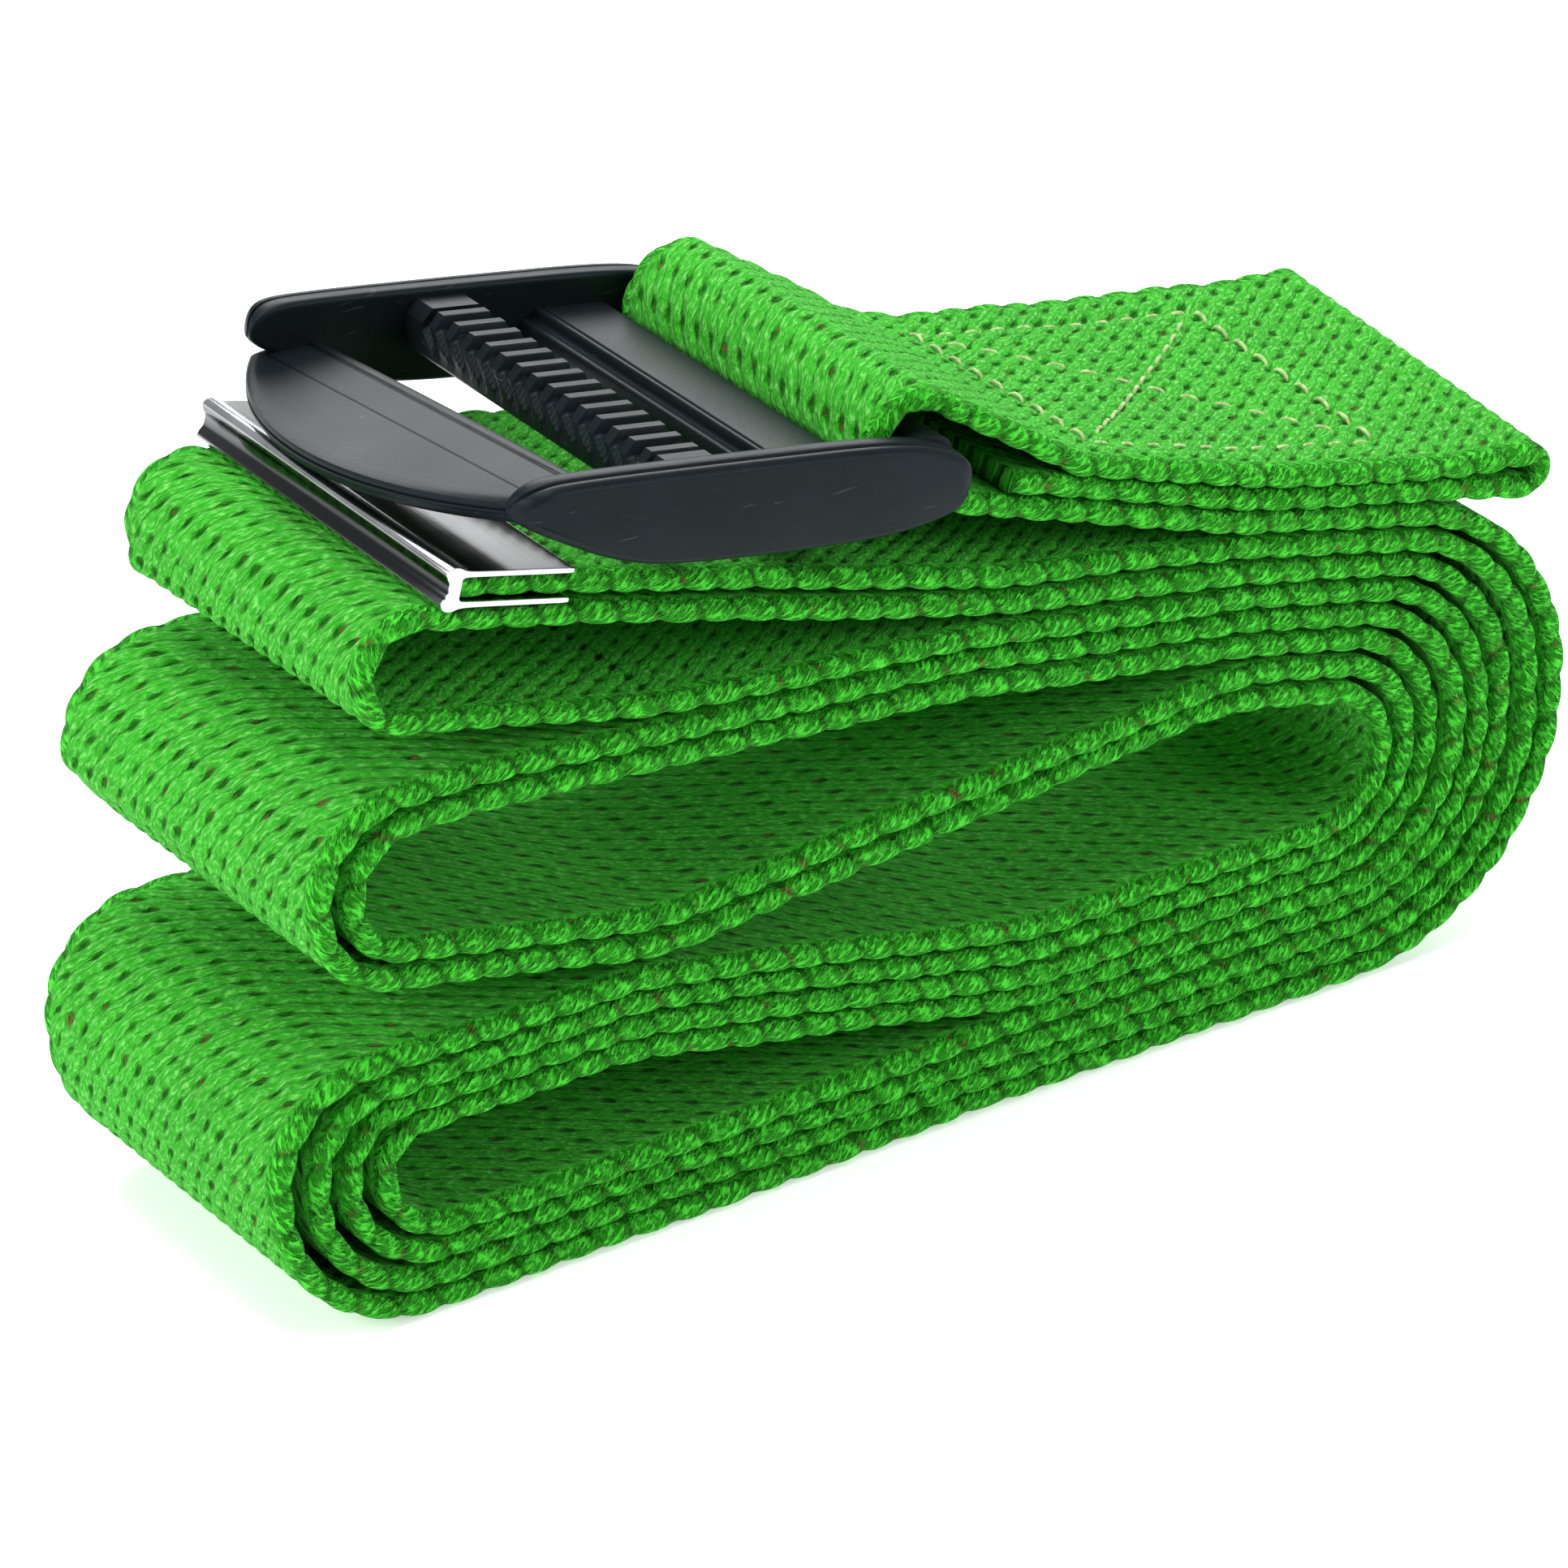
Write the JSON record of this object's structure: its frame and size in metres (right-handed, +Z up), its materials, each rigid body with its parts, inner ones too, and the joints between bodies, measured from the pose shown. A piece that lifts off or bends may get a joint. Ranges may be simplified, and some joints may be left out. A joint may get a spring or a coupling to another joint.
{
  "type": "stretching strap",
  "caption": "Webbing exercise strap folded into a flat bundle, with a ladder-lock cinch buckle sewn to one end and a metal tip on the other.",
  "frame": {"origin": "on the flat underside of the bottom run of webbing, under the middle of the bundle", "axes": "+X along the bundle, away from the buckle; +Y across the width of the webbing; +Z up"},
  "size_m": [0.1369, 0.0456, 0.0759],
  "materials": {
    "webbing": "matte woven cotton",
    "buckle": "fine matte grain",
    "tip": "polished",
    "thread": "matte"
  },
  "bodies": {
    "strap": {"webbing": "webbing", "end_tip": "tip", "needle_thread": "thread", "bobbin_thread": "thread"},
    "buckle": {"buckle_frame": "buckle"}
  },
  "joints": [
    {"name": "buckle_swing", "type": "hinge", "parent": "strap", "child": "buckle", "pos_m": [-0.005, 0, 0.067], "axis": [0, 1, 0], "range_deg": [0, 85]}
  ]
}
